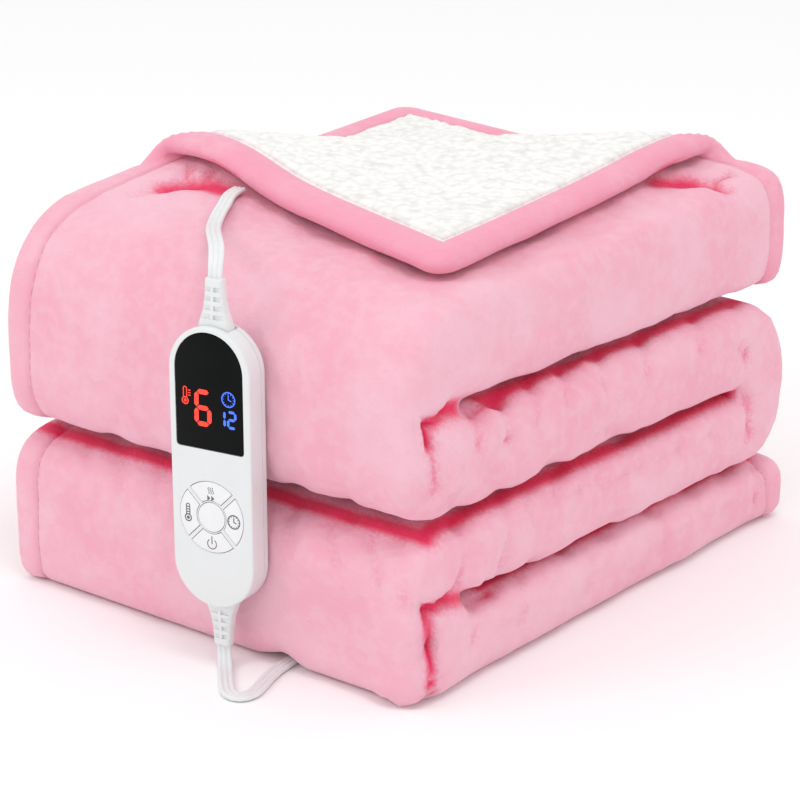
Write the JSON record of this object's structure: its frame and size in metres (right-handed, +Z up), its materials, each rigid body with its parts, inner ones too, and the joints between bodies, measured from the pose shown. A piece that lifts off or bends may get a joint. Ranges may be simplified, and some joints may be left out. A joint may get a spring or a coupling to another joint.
{
  "type": "electric heated blanket",
  "caption": "Fleece and sherpa electric heated blanket folded into a stack with one top corner turned over, its wired hand control against the front and its mains lead coiled behind.",
  "frame": {"origin": "on the surface that the blanket lies on, under the middle of the folded stack", "axes": "+Z up; +X towards the rounded folds at the stack's right end; -Y towards the two large folds that the hand control stands against"},
  "size_m": [0.3309, 0.5783, 0.2661],
  "materials": {
    "flannel": "matte",
    "sherpa": "matte",
    "shell": "satin",
    "keys": "satin",
    "window": "gloss",
    "cord": "satin",
    "blades": "satin"
  },
  "bodies": {
    "blanket_and_control": {"blanket": "flannel", "handset_back": "shell", "handset_front": "shell", "display_window": "window", "key_disc": "keys", "relief_upper": "cord", "relief_lower": "cord", "cord_upper": "cord", "cord_lower": "cord", "cord_coil": "cord", "cord_tail": "cord", "plug": "shell", "plug_blade_front": "blades", "plug_blade_back": "blades"},
    "heat_button": {"key_heat": "keys"},
    "clock_button": {"key_clock": "keys"},
    "power_button": {"key_power": "keys"},
    "temperature_button": {"key_temperature": "keys"}
  },
  "joints": [
    {"name": "press_heat", "type": "slide", "parent": "blanket_and_control", "child": "heat_button", "axis": [-0.1564, 0.9877, 0], "range_m": [0, 0.0007], "stiffness_N_per_m": 1200},
    {"name": "press_clock", "type": "slide", "parent": "blanket_and_control", "child": "clock_button", "axis": [-0.1564, 0.9877, 0], "range_m": [0, 0.0007], "stiffness_N_per_m": 1200},
    {"name": "press_power", "type": "slide", "parent": "blanket_and_control", "child": "power_button", "axis": [-0.1564, 0.9877, 0], "range_m": [0, 0.0007], "stiffness_N_per_m": 1200},
    {"name": "press_temperature", "type": "slide", "parent": "blanket_and_control", "child": "temperature_button", "axis": [-0.1564, 0.9877, 0], "range_m": [0, 0.0007], "stiffness_N_per_m": 1200}
  ]
}
